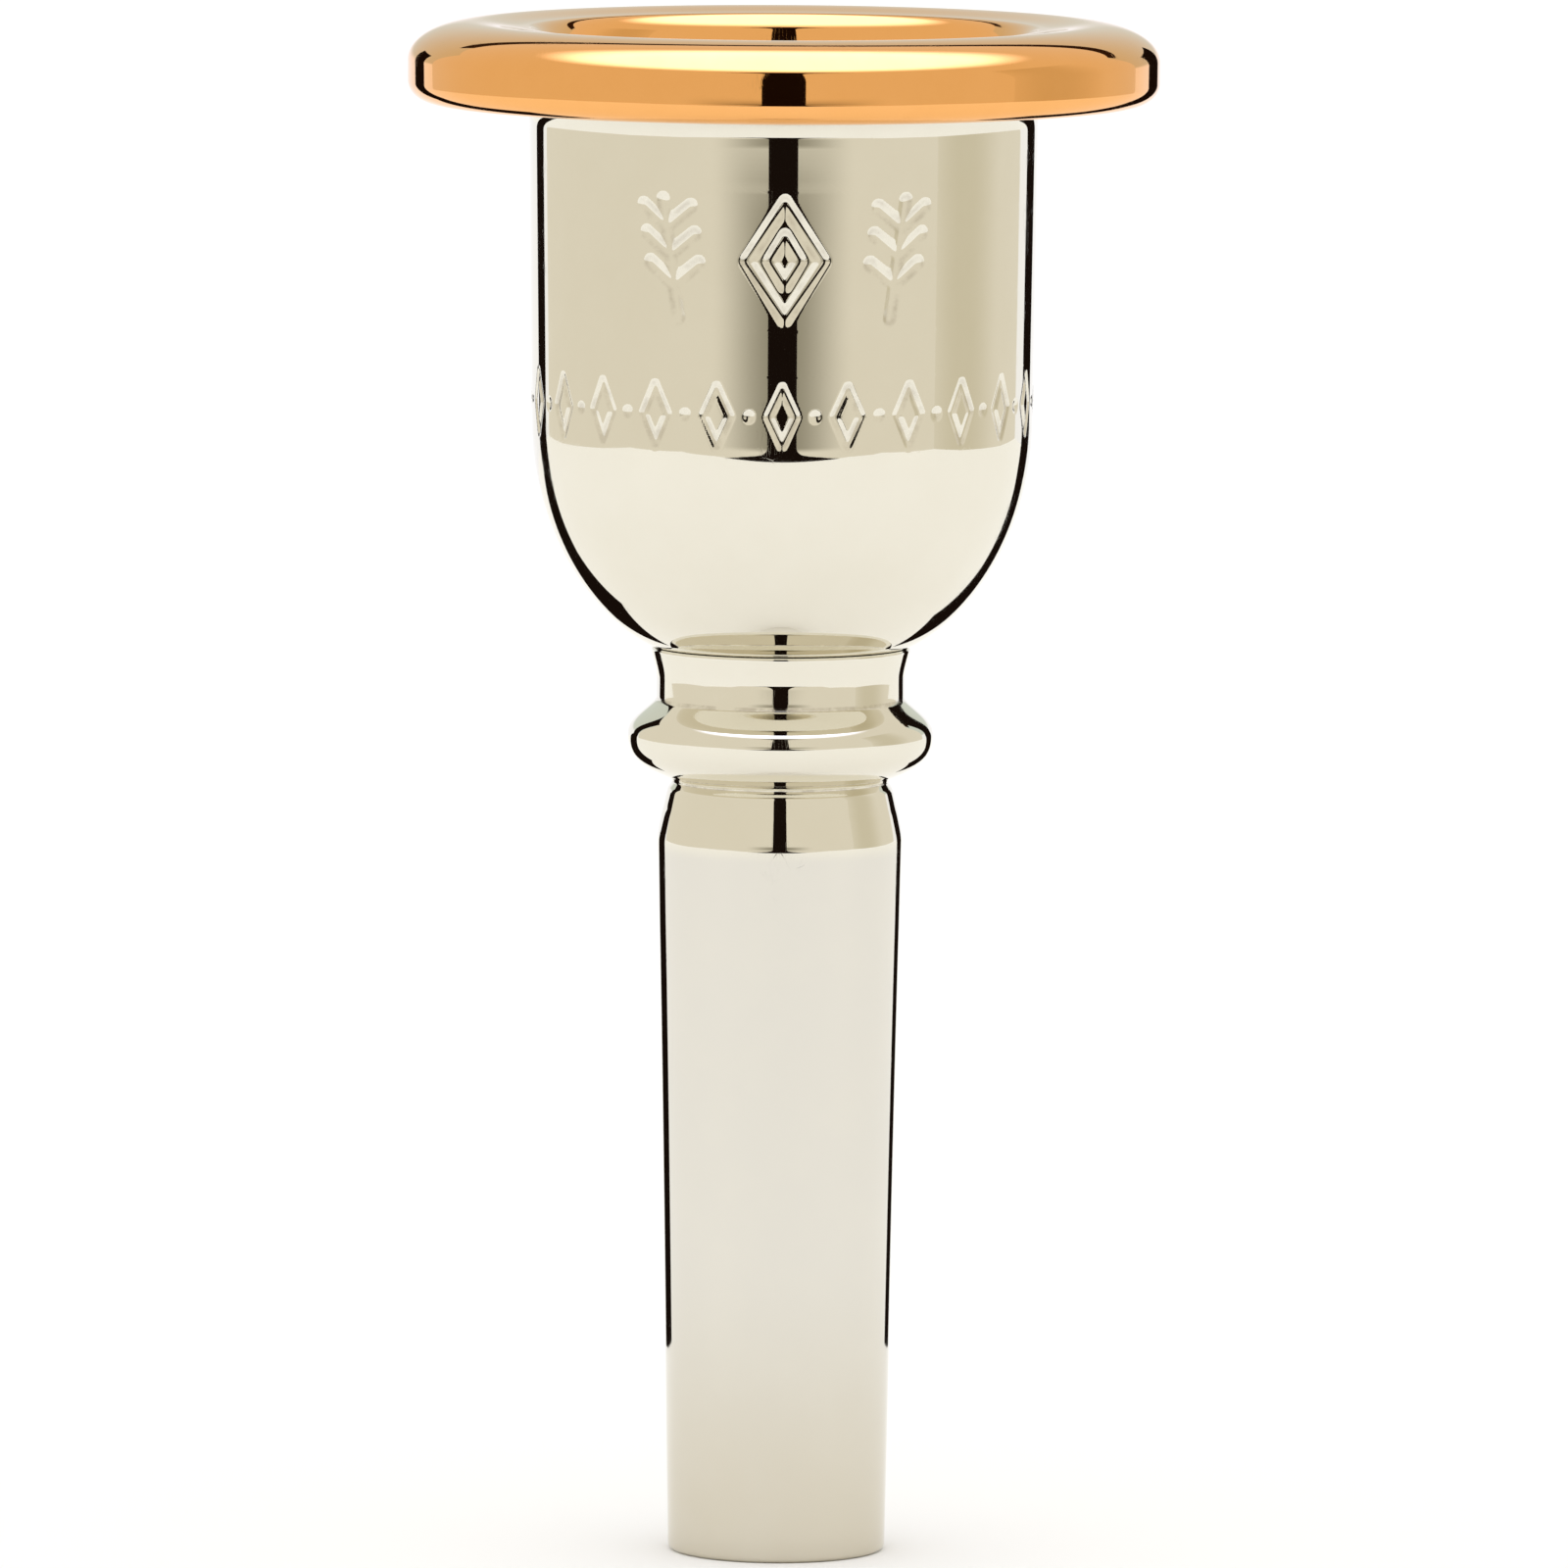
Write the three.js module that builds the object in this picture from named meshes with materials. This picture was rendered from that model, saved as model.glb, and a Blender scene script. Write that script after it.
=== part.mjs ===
// A low brass mouthpiece that unscrews into a rim, a cup and a shank, with a seal ring in each joint.
// Millimetres, +Z up. The origin is the centre of the shank's end face, and +Z runs up the bore to the rim.
import * as THREE from "three";

// Clearances
const seamGap = 0.2; // between two pieces screwed home
const threadGap = 0.15; // between a male thread and its female thread
const sealGap = 0.1; // round a seal ring

// Shank: the long taper that fits the instrument's receiver
const taperLength = 37.45;
const taperEndRadius = 5.66;
const taperTopRadius = 6.38;
const taperEdge = 0.3;
const endWall = 1.06; // between the taper and the backbore at the shank's end

// Shoulder, bead and collar above the taper
const shoulderHeight = 2.5;
const shoulderTopRadius = 5.88;
const shoulderPulls = [0.26, 0.7]; // shares of the shoulder's height
const shoulderNarrowing = [0.16, 0.66]; // shares of the shoulder's fall in radius at its pulls
const beadGrooveHeight = 0.65;
const beadGrooveRadius = 5.6;
const beadGrooveFloor = 0.62; // share of the groove's height below its deepest line
const beadFootRadius = 5.95;
const beadRadius = 7.95;
const beadRise = 2.2;
const beadFlare = 0.7; // share of the bead's swell reached at its first pull
const beadPulls = [0.25, 0.5]; // shares of the bead's rise
const beadTopHeight = 1.82; // from the bead's widest line up to the waist
const beadTopPulls = [0.41, 0.63]; // shares of that height
const beadTopNarrowing = 0.56; // share of the fall in radius at the second pull
const waistRadius = 6.46;
const waistHeight = 1.23;
const collarHeight = 1.38;
const collarLip = 0.22; // how far the collar's edge stands out past its seat
const collarKnee = [0.5, 0.55]; // shares of the collar's flare and height
const collarChamfer = 0.12;

// Tenon on the shank, and its socket in the cup's foot
const tenonWall = 0.8; // between the bore's mouth and the thread's root
const tenonLength = 5.4;
const tenonThreadDepth = 0.35;
const tenonPitch = 1;
const reliefLength = 0.9;
const seatWall = 0.85; // outside the lower seal ring's counterbore

// Bore through the shank
const throatRadius = 3.3;
const throatMouthFlare = 0.3;
const throatMouthLength = 1;
const throatLength = 6.5;
const backborePulls = [0.8, 0.3]; // shares of the backbore's length, from the shank's end
const backboreFlare = 0.3;

// Cup: the bowl between the collar and the rim
const bowlWall = 1; // at the bowl's top
const bowlDraft = 0.2; // how much the bowl narrows from its top to its round
const bowlRoundHeight = 11.35;
const bowlFootFlare = [3.33, 1.32]; // out and up from the foot
const bowlSidePull = [0.08, 5.51]; // in and down from the top of the round
const bowlWallHeight = 15.65;
const filletRadius = 1.1;
const mouthPull = [0.75, 8]; // in and down from the mouth
const funnelPull = [5, 6.1]; // out and up from the throat

// Flange on the cup's top, and its recess under the rim
const flangeLedge = 0.6; // how far the flange stands out past the fillet
const flangeHeight = 1.9;
const flangeThreadDepth = 0.3;
const flangePitch = 0.75;

// Rim
const rimRadius = 19.5;
const rimWebThickness = 2.05;
const rimCrestWidth = 3.8; // from the bite to the crest
const rimWallHeight = 0.8;
const rimFootRounding = 1.4;
const biteRadius = 12.2;
const biteRounding = 1.1;
const biteSink = 1.7; // how far down the bite's rounding reaches
const biteDrop = 0.25; // how far the bite's top lies below the crest

// Seal rings: round rubber rings, one round the tenon's root and one in the flange's top
const sealThickness = 0.7;
const sealProud = 0.3; // how far the upper ring stands out of the flange's groove

// Facets
const around = 36;
const stationsPerTurn = 5;
const sealFacets = 8;
const threadFade = 0.75; // turns over which a thread runs out at each end
const onWallWithin = 1e-3;

// Heights of the joints, stacked from the shank's end
const shoulderTop = taperLength + shoulderHeight;
const beadFoot = shoulderTop + beadGrooveHeight;
const beadWidest = beadFoot + beadRise;
const waistFoot = beadWidest + beadTopHeight;
const waist = waistFoot + waistHeight;
const collarEdge = waist + collarHeight;
const shankSeat = collarEdge + collarChamfer;
const tenonTop = shankSeat + tenonLength;
const cupFoot = shankSeat + seamGap;
const socketTop = tenonTop + seamGap;
const bowlRoundTop = cupFoot + bowlRoundHeight;
const bowlWallTop = bowlRoundTop + bowlWallHeight;
const flangeFoot = bowlWallTop + filletRadius;
const flangeTop = flangeFoot + flangeHeight;
const rimWeb = flangeTop + seamGap;
const rimCrest = rimWeb + rimWebThickness;

// Radii of the lower joint, from the bore outwards
const sealGrooveWidth = sealThickness + 2 * sealGap;
const throatMouthRadius = throatRadius + throatMouthFlare;
const tenonRoot = throatMouthRadius + tenonWall;
const socketRadius = tenonRoot + tenonThreadDepth + threadGap;
const shankSealRadius = socketRadius + sealThickness / 2;
const counterboreRadius = shankSealRadius + sealGrooveWidth / 2;
const seatRadius = counterboreRadius + seatWall;
const collarRadius = seatRadius + collarLip;
const shankSealHeight = shankSeat + sealGap + sealThickness / 2;

// Radii of the upper joint, from the mouth outwards
const bowlTopRadius = biteRadius + bowlWall;
const bowlRoundRadius = bowlTopRadius - bowlDraft;
const flangeRadius = bowlTopRadius + filletRadius + flangeLedge;
const flangeRoot = flangeRadius - flangeThreadDepth;
const recessRadius = flangeRadius + threadGap;
const flangeSealRadius = (biteRadius + flangeRoot) / 2;
const flangeSealHeight = flangeTop + sealProud - sealThickness / 2;

const at = (radius, height) => new THREE.Vector2(radius, height);

// A smooth stretch of outline from start to end, drawn towards two pulls on its way
function curve(start, startPull, endPull, end, steps) {
  return new THREE.CubicBezierCurve(start, startPull, endPull, end).getPoints(steps);
}

// A round stretch of outline about a centre
function arc(centre, across, up, from, to, steps) {
  const clockwise = to < from;
  return new THREE.EllipseCurve(centre.x, centre.y, across, up, from, to, clockwise).getPoints(steps);
}

// Stations up or down a threaded wall, close enough together to carry its turns
function threadWall(radius, from, to, pitch) {
  const steps = Math.max(2, Math.round((Math.abs(to - from) / pitch) * stationsPerTurn));
  return Array.from({ length: steps + 1 }, (_, i) => at(radius, from + ((to - from) * i) / steps));
}

// A closed outline turned about the bore
function turn(outline) {
  const geometry = new THREE.LatheGeometry([...outline, outline[0].clone()], around);
  return geometry.rotateX(Math.PI / 2);
}

// Raises a right-hand thread on a plain wall: outwards by ridge, or inwards where ridge is negative.
// It runs out over part of a turn at each end.
function cutThread(geometry, { radius, bottom, top, pitch, ridge }) {
  const points = geometry.attributes.position;
  const fadeLength = threadFade * pitch;
  for (let i = 0; i < points.count; i++) {
    const x = points.getX(i);
    const y = points.getY(i);
    const z = points.getZ(i);
    const onWall = Math.abs(Math.hypot(x, y) - radius) < onWallWithin;
    if (!onWall || z < bottom || z > top) continue;
    const turns = z / pitch - Math.atan2(y, x) / (2 * Math.PI);
    const wave = Math.cos(2 * Math.PI * turns);
    const fade = Math.min(1, (z - bottom) / fadeLength, (top - z) / fadeLength);
    const raised = (fade * ridge * (1 + Math.sign(ridge) * wave)) / 2;
    points.setXY(i, x * (1 + raised / radius), y * (1 + raised / radius));
  }
  return geometry;
}

const finish = (color, roughness, metalness) =>
  new THREE.MeshStandardMaterial({ color, roughness, metalness });
const goldPlate = () => finish(0xe4a850, 0.12, 1);
const silverPlate = () => finish(0xd9d2bc, 0.1, 1);
const blackRubber = () => finish(0x1c1b1a, 0.6, 0);

function mesh(name, geometry, material) {
  const made = new THREE.Mesh(geometry, material);
  made.name = name;
  return made;
}

// Shank outline from the end face up the outside, over the tenon and down the bore
function shankOutline() {
  const threadBottom = shankSeat + reliefLength;
  const throatTop = tenonTop - throatMouthLength;
  const throatBottom = throatTop - throatLength;
  const backboreEndRadius = taperEndRadius - endWall;
  const shoulderFall = taperTopRadius - shoulderTopRadius;
  const shoulderAt = (narrowed, risen) =>
    at(taperTopRadius - narrowed * shoulderFall, taperLength + risen * shoulderHeight);
  const beadFall = beadRadius - waistRadius;
  return [
    at(taperEndRadius - taperEdge, 0),
    at(taperEndRadius, taperEdge),
    ...curve(
      at(taperTopRadius, taperLength),
      shoulderAt(shoulderNarrowing[0], shoulderPulls[0]),
      shoulderAt(shoulderNarrowing[1], shoulderPulls[1]),
      at(shoulderTopRadius, shoulderTop),
      4,
    ),
    at(beadGrooveRadius, shoulderTop + beadGrooveFloor * beadGrooveHeight),
    ...curve(
      at(beadFootRadius, beadFoot),
      at(beadFootRadius + beadFlare * (beadRadius - beadFootRadius), beadFoot + beadPulls[0] * beadRise),
      at(beadRadius, beadFoot + beadPulls[1] * beadRise),
      at(beadRadius, beadWidest),
      6,
    ),
    ...curve(
      at(beadRadius, beadWidest),
      at(beadRadius, beadWidest + beadTopPulls[0] * beadTopHeight),
      at(beadRadius - beadTopNarrowing * beadFall, beadWidest + beadTopPulls[1] * beadTopHeight),
      at(waistRadius, waistFoot),
      6,
    ).slice(1),
    at(waistRadius, waist),
    at(waistRadius + collarKnee[0] * (collarRadius - waistRadius), waist + collarKnee[1] * collarHeight),
    at(collarRadius, collarEdge),
    at(seatRadius, shankSeat),
    at(tenonRoot, shankSeat),
    ...threadWall(tenonRoot, threadBottom, tenonTop - taperEdge, tenonPitch),
    at(tenonRoot - taperEdge, tenonTop),
    at(throatMouthRadius, tenonTop),
    at(throatRadius, throatTop),
    ...curve(
      at(throatRadius, throatBottom),
      at(throatRadius, throatBottom * backborePulls[0]),
      at(backboreEndRadius - backboreFlare, throatBottom * backborePulls[1]),
      at(backboreEndRadius, 0),
      6,
    ),
  ];
}

function shankSolid() {
  return cutThread(turn(shankOutline()), {
    radius: tenonRoot,
    bottom: shankSeat + reliefLength,
    top: tenonTop - taperEdge,
    pitch: tenonPitch,
    ridge: tenonThreadDepth,
  });
}

// Cup outline from its foot up the outside, over the flange, down the bowl and down the socket
function cupOutline() {
  const groove = sealGrooveWidth / 2;
  const grooveFloor = flangeSealHeight - groove;
  const counterboreTop = shankSealHeight + groove;
  const filletCentre = at(bowlTopRadius + filletRadius, bowlWallTop);
  return [
    ...curve(
      at(seatRadius, cupFoot),
      at(seatRadius + bowlFootFlare[0], cupFoot + bowlFootFlare[1]),
      at(bowlRoundRadius - bowlSidePull[0], bowlRoundTop - bowlSidePull[1]),
      at(bowlRoundRadius, bowlRoundTop),
      12,
    ),
    ...arc(filletCentre, filletRadius, filletRadius, Math.PI, Math.PI / 2, 5),
    at(flangeRoot, flangeFoot),
    ...threadWall(flangeRoot, flangeFoot + seamGap, flangeTop - seamGap, flangePitch),
    at(flangeRoot - seamGap, flangeTop),
    at(flangeSealRadius + groove, flangeTop),
    at(flangeSealRadius + groove, grooveFloor),
    at(flangeSealRadius - groove, grooveFloor),
    at(flangeSealRadius - groove, flangeTop),
    ...curve(
      at(biteRadius, flangeTop),
      at(biteRadius - mouthPull[0], flangeTop - mouthPull[1]),
      at(throatMouthRadius + funnelPull[0], socketTop + funnelPull[1]),
      at(throatMouthRadius, socketTop),
      12,
    ),
    ...threadWall(socketRadius, socketTop, counterboreTop, tenonPitch),
    at(counterboreRadius, counterboreTop),
    at(counterboreRadius, cupFoot),
  ];
}

function cupSolid() {
  const flanged = cutThread(turn(cupOutline()), {
    radius: flangeRoot,
    bottom: flangeFoot + seamGap,
    top: flangeTop - seamGap,
    pitch: flangePitch,
    ridge: flangeThreadDepth,
  });
  return cutThread(flanged, {
    radius: socketRadius,
    bottom: shankSealHeight + sealGrooveWidth / 2,
    top: socketTop,
    pitch: tenonPitch,
    ridge: -tenonThreadDepth,
  });
}

// Rim outline from the recess's mouth round the outside, over the crest, down the bite and back under the web
function rimOutline() {
  const footRounding = Math.min(rimFootRounding, rimRadius - recessRadius - seamGap);
  const wallFoot = flangeFoot + footRounding;
  const wallTop = wallFoot + rimWallHeight;
  const footCentre = at(rimRadius - footRounding, wallFoot);
  const crestCentre = at(biteRadius + rimCrestWidth, wallTop);
  const biteTop = rimCrest - biteDrop;
  const biteCentre = at(biteRadius + biteRounding, biteTop - biteSink);
  const groove = sealGrooveWidth / 2;
  const grooveRoof = flangeSealHeight + groove;
  return [
    at(recessRadius + seamGap, flangeFoot),
    ...arc(footCentre, footRounding, footRounding, -Math.PI / 2, 0, 5),
    ...arc(crestCentre, rimRadius - crestCentre.x, rimCrest - wallTop, 0, Math.PI / 2, 9),
    ...arc(biteCentre, biteRounding, biteSink, Math.PI / 2, Math.PI, 5),
    at(biteRadius, rimWeb),
    at(flangeSealRadius - groove, rimWeb),
    at(flangeSealRadius - groove, grooveRoof),
    at(flangeSealRadius + groove, grooveRoof),
    at(flangeSealRadius + groove, rimWeb),
    ...threadWall(recessRadius, rimWeb, flangeFoot + seamGap, flangePitch),
  ];
}

function rimSolid() {
  return cutThread(turn(rimOutline()), {
    radius: recessRadius,
    bottom: flangeFoot + seamGap,
    top: rimWeb,
    pitch: flangePitch,
    ridge: -flangeThreadDepth,
  });
}

// A round rubber ring about the bore
function sealRing(radius, height) {
  const section = arc(at(radius, height), sealThickness / 2, sealThickness / 2, 0, 2 * Math.PI, sealFacets);
  return turn(section.slice(0, -1));
}

const mouthpiece = new THREE.Group();
mouthpiece.add(
  mesh("shank", shankSolid(), silverPlate()),
  mesh("shank_seal_ring", sealRing(shankSealRadius, shankSealHeight), blackRubber()),
  mesh("cup", cupSolid(), silverPlate()),
  mesh("rim_seal_ring", sealRing(flangeSealRadius, flangeSealHeight), blackRubber()),
  mesh("rim", rimSolid(), goldPlate()),
);

export default mouthpiece;
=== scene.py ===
import math

import bpy
import numpy as np
from mathutils import Matrix, Vector


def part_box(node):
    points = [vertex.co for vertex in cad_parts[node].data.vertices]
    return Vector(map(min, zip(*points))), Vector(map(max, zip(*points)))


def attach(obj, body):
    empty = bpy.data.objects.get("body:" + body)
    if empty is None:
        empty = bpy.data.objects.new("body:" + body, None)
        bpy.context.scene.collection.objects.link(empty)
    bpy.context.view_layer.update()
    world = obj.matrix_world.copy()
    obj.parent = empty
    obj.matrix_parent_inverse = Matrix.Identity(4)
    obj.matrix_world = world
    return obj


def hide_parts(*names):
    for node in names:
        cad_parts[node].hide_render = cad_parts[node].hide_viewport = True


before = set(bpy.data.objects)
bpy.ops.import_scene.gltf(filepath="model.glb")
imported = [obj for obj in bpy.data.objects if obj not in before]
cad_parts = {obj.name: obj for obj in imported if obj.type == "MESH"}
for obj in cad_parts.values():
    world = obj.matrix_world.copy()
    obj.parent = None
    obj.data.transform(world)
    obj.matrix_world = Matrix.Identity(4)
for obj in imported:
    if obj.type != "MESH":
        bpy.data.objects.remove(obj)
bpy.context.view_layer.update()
scene = bpy.context.scene
scene.view_settings.view_transform = "Standard"

mm = 0.001
wholeTurn = 2 * math.pi
print("frame loaded:", ", ".join(sorted(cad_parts)))


# Outlines are lists of (radius, height) in millimetres, up the outside and back down the inside.

def curve(start, startPull, endPull, end, steps):  # a smooth stretch, drawn towards two pulls
    t = np.linspace(0, 1, steps + 1)[:, None]
    a, b, c, d = (np.array(point, float) for point in (start, startPull, endPull, end))
    points = (1 - t) ** 3 * a + 3 * (1 - t) ** 2 * t * b + 3 * (1 - t) * t * t * c + t ** 3 * d
    return [tuple(point) for point in points]


def arc(centre, across, up, fromDegrees, toDegrees, steps):  # a round stretch about a centre
    angles = np.radians(np.linspace(fromDegrees, toDegrees, steps + 1))
    return [(centre[0] + across * math.cos(a), centre[1] + up * math.sin(a)) for a in angles]


def straight(start, end, steps):  # a straight stretch with stations along it
    t = np.linspace(0, 1, steps + 1)[:, None]
    points = (1 - t) * np.array(start, float) + t * np.array(end, float)
    return [tuple(point) for point in points]


def corner(before, here, after, rounding, steps=4):  # a small rounding where two stretches meet
    h = np.array(here, float)
    toBefore = np.array(before, float) - h
    toAfter = np.array(after, float) - h
    start = h + toBefore / np.linalg.norm(toBefore) * rounding
    end = h + toAfter / np.linalg.norm(toAfter) * rounding
    t = np.linspace(0, 1, steps + 1)[:, None]
    points = (1 - t) ** 2 * start + 2 * t * (1 - t) * h + t * t * end
    return [tuple(point) for point in points]


creaseScale = {"shortest": 0.05, "full": 4}  # mm, and the turn per mm that counts as a full crease


def creaseOf(outline):  # how hollow (below 0) or proud (above 0) the outline is at each station
    points = np.array(outline)
    before = points - np.roll(points, 1, axis=0)
    after = np.roll(points, -1, axis=0) - points
    bend = np.arctan2(before[:, 0] * after[:, 1] - before[:, 1] * after[:, 0], (before * after).sum(1))
    stretch = (np.linalg.norm(before, axis=1) + np.linalg.norm(after, axis=1)) / 2
    return np.clip(bend / np.maximum(stretch, creaseScale["shortest"]) / creaseScale["full"], -1, 1)


ridgeShape = {"start": 0.25, "round": 0.97, "flat": 1.25, "runOut": 0.75}  # in turns, flanks and pitches


def threadDepth(thread, height, angle):  # right-hand ridge, running out over part of a turn at each end
    low, high = thread["span"]
    if not low <= height <= high:
        return np.zeros(len(angle))
    turns = height / thread["pitch"] - (angle / wholeTurn - ridgeShape["start"])
    flank = np.arcsin(np.cos(wholeTurn * turns) * ridgeShape["round"]) / (math.pi / 2)
    vee = np.clip(flank * ridgeShape["flat"], -1, 1)
    runOut = ridgeShape["runOut"] * thread["pitch"]
    fade = min(1, (height - low) / runOut, (high - height) / runOut)
    side = math.copysign(1, thread["ridge"])
    return fade * thread["ridge"] * (1 + side * vee) / 2


sharpAngle = 38  # a corner bent by more than this, in degrees, stays crisp
onWall = 1e-4  # how near a thread's wall, in mm, a station has to be to carry the ridge


def setValues(mesh, name, values):  # a number for each point of the mesh, which the finishes read
    mesh.attributes.new(name, "FLOAT", "POINT").data.foreach_set("value", np.array(values, np.float32))


def turned(name, outline, columns, threads=(), cuts=None, engraving=None, inside=None):
    # Turns an outline about the bore. cuts splits the columns of a station where fine work needs it.
    creases = creaseOf(outline)
    points, crease, engraved, rings = [], [], [], []
    for i, (radius, height) in enumerate(outline):
        split = cuts[i] if cuts is not None else np.ones(columns, int)
        shares = [(j + np.arange(n) / n) for j, n in enumerate(split)]
        angle = np.concatenate(shares) * wholeTurn / columns
        radii = np.full(len(angle), float(radius))
        for thread in threads:
            if abs(radius - thread["wall"]) < onWall:
                radii += threadDepth(thread, height, angle)
        depth = np.zeros(len(angle))
        if engraving is not None and split.max() > 1:
            depth = engraving(angle * radius, height, radius)
            radii -= depth
        starts = np.concatenate([[0], np.cumsum(split)])
        rings.append((len(points), starts, len(angle)))
        z = height * mm
        points += [(r * mm * math.sin(a), -r * mm * math.cos(a), z) for r, a in zip(radii, angle)]
        crease += [creases[i]] * len(angle)
        engraved += list(depth)
    faces, paints = [], []
    for i, lower in enumerate(rings):
        upper = rings[(i + 1) % len(rings)]
        made = facesBetween(lower, upper, columns)
        faces += made
        paints += [int(inside is not None and inside(i))] * len(made)
    mesh = bpy.data.meshes.new(name)
    mesh.from_pydata(points, [], faces)
    setValues(mesh, "crease", crease)
    engraved = np.array(engraved, np.float32)
    if engraved.max() > 0:
        setValues(mesh, "engraved", engraved / engraved.max())
    mesh.polygons.foreach_set("material_index", np.array(paints, np.int32))
    mesh.shade_smooth()
    mesh.set_sharp_from_angle(angle=math.radians(sharpAngle))
    mesh.update()
    piece = bpy.data.objects.new(name, mesh)
    scene.collection.objects.link(piece)
    return piece


def facesBetween(lower, upper, columns):  # quads, or one wider face where the split changes
    made = []
    for j in range(columns):
        low = sideOf(lower, j)
        high = sideOf(upper, j)
        if len(low) == len(high):
            made += [(low[k], low[k + 1], high[k + 1], high[k]) for k in range(len(low) - 1)]
        else:
            made.append(tuple(low + high[::-1]))
    return made


def sideOf(ring, j):  # the points of one column, with the first of the next
    first, starts, count = ring
    return [first + (k % count) for k in range(starts[j], starts[j + 1] + 1)]


def span(node):  # lowest and highest point of a piece's frame node, and how far it reaches out
    low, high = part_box(node)
    return low.z / mm, high.z / mm, high.x / mm


shankLow, tenonTop, beadReach = span("shank")
cupFoot, flangeTop = span("cup")[:2]
flangeFoot, rimCrest, rimReach = span("rim")
jointLine = 0.012  # what shows between two pieces screwed home
cadGap = 0.2
closing = (cadGap - jointLine) / 2  # how far each face of the upper joint comes towards the other

# Lower joint: the tenon's thread and the socket it screws into. Upper joint: the flange's and the rim's.
lowerThread = {"pitch": 1.0, "ridge": 0.35, "tenon": 4.4, "socket": 4.9, "foot": 0.9, "lead": 0.3}
upperThread = {"pitch": 0.75, "ridge": 0.3, "flange": 14.6, "recess": 15.05, "lead": 0.2}


def cutThread(kind, part, low, high, sign):  # sign: 1 for a ridge standing out, -1 for one standing in
    return {"wall": kind[part], "span": (low, high), "pitch": kind["pitch"], "ridge": sign * kind["ridge"]}


tenonFoot = cupFoot - cadGap + lowerThread["foot"]
upperFoot = flangeFoot + upperThread["lead"]
socketFoot = 0.7  # plain wall above the cup's foot
tenonThread = cutThread(lowerThread, "tenon", tenonFoot, tenonTop - lowerThread["lead"], 1)
socketThread = cutThread(lowerThread, "socket", cupFoot + socketFoot, tenonTop + cadGap, -1)
flangeThread = cutThread(upperThread, "flange", upperFoot, flangeTop - upperThread["lead"], 1)
recessThread = cutThread(upperThread, "recess", upperFoot, flangeTop + cadGap, -1)


shankShape = {
    "columns": 240,
    "taper": {"length": 37.45, "endRadius": 5.66, "topRadius": 6.38, "edge": 0.3, "pulls": (0.217, 0.325)},
    "shoulder": {
        "top": 39.95,
        "radius": 5.88,
        "lowPull": (0.08, 0.65),  # in and up from the taper's top
        "highPull": (0.17, 1.75),  # out from the groove's edge, up from the taper's top
        "step": {"height": 38.95, "depth": 0.016, "width": 0.07},
    },
    "groove": {"floor": 40.35, "radius": 5.6, "top": 40.6, "topRadius": 5.95},
    "bead": {
        "widest": 42.8,
        "lowPull": (0.7, 0.25),  # shares of how far it swells and rises
        "widestPulls": (0.5, 0.41),  # shares of the rise below the widest line and of the sink above it
        "highPull": (0.56, 0.63),  # shares of how far it falls in and sinks
    },
    "waist": {"foot": 44.62, "top": 45.85, "radius": 6.46, "flare": 0.25},
    "collar": {"edge": 47.25, "radius": 6.77, "kneeRadius": 6.615, "kneeHeight": 46.61},
    "seatRadius": 6.68,
    "tenonChamfer": 0.3,
    "bore": {
        "throat": 3.3,
        "mouth": 3.6,
        "throatTop": 51.75,
        "throatFoot": 45.25,
        "end": 4.6,
        "highPull": 0.8,  # shares of the throat's foot height
        "lowPull": 0.3,
        "flare": 0.3,
    },
    "rounding": {
        "taperTop": 0.25,
        "shoulderTop": 0.12,
        "grooveFloor": 0.1,
        "beadFoot": 0.07,
        "waistFoot": 0.16,
        "collarEdge": 0.07,
        "seatEdge": 0.03,
        "root": 0.15,
        "tenonEdge": 0.08,
        "mouthEdge": 0.1,
        "mouthFoot": 0.3,
        "end": 0.08,
    },
}


def smallStep(outline, height, across, amount):  # a faint tool mark: the wall steps in or out there
    return [(r + amount / (1 + math.exp(-(z - height) / across)), z) for r, z in outline]


def taperAndShoulder(shape):  # from the shank's end up to the floor of the groove
    taper, shoulder, groove, rounding = (shape[part] for part in ("taper", "shoulder", "groove", "rounding"))
    length, edge, step = taper["length"], taper["edge"], shoulder["step"]
    footPull, topPull = taper["pulls"]
    taperTop = (taper["topRadius"], length)
    outline = arc((taper["endRadius"] - edge, edge), edge, edge, -90, 0, 6)
    taperFoot = outline[-1]
    lowPull = (taperFoot[0] + footPull, length / 3)
    highPull = (taper["topRadius"] - topPull, length * 2 / 3)
    outline += curve(taperFoot, lowPull, highPull, taperTop, 30)[1:-1]
    lowPull = (taper["topRadius"] - shoulder["lowPull"][0], length + shoulder["lowPull"][1])
    highPull = (shoulder["radius"] + shoulder["highPull"][0], length + shoulder["highPull"][1])
    shoulderCurve = curve(taperTop, lowPull, highPull, (shoulder["radius"], shoulder["top"]), 40)
    shoulderCurve = smallStep(shoulderCurve, step["height"], step["width"], -step["depth"])
    shoulderTop = shoulderCurve[-1]
    grooveFloor = (groove["radius"], groove["floor"])
    beadFoot = (groove["topRadius"], groove["top"])
    outline += corner(outline[-1], taperTop, shoulderCurve[6], rounding["taperTop"], 8)
    outline += shoulderCurve[5:-3]
    outline += corner(shoulderCurve[-3], shoulderTop, grooveFloor, rounding["shoulderTop"])
    outline += corner(shoulderTop, grooveFloor, beadFoot, rounding["grooveFloor"])
    return outline


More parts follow.
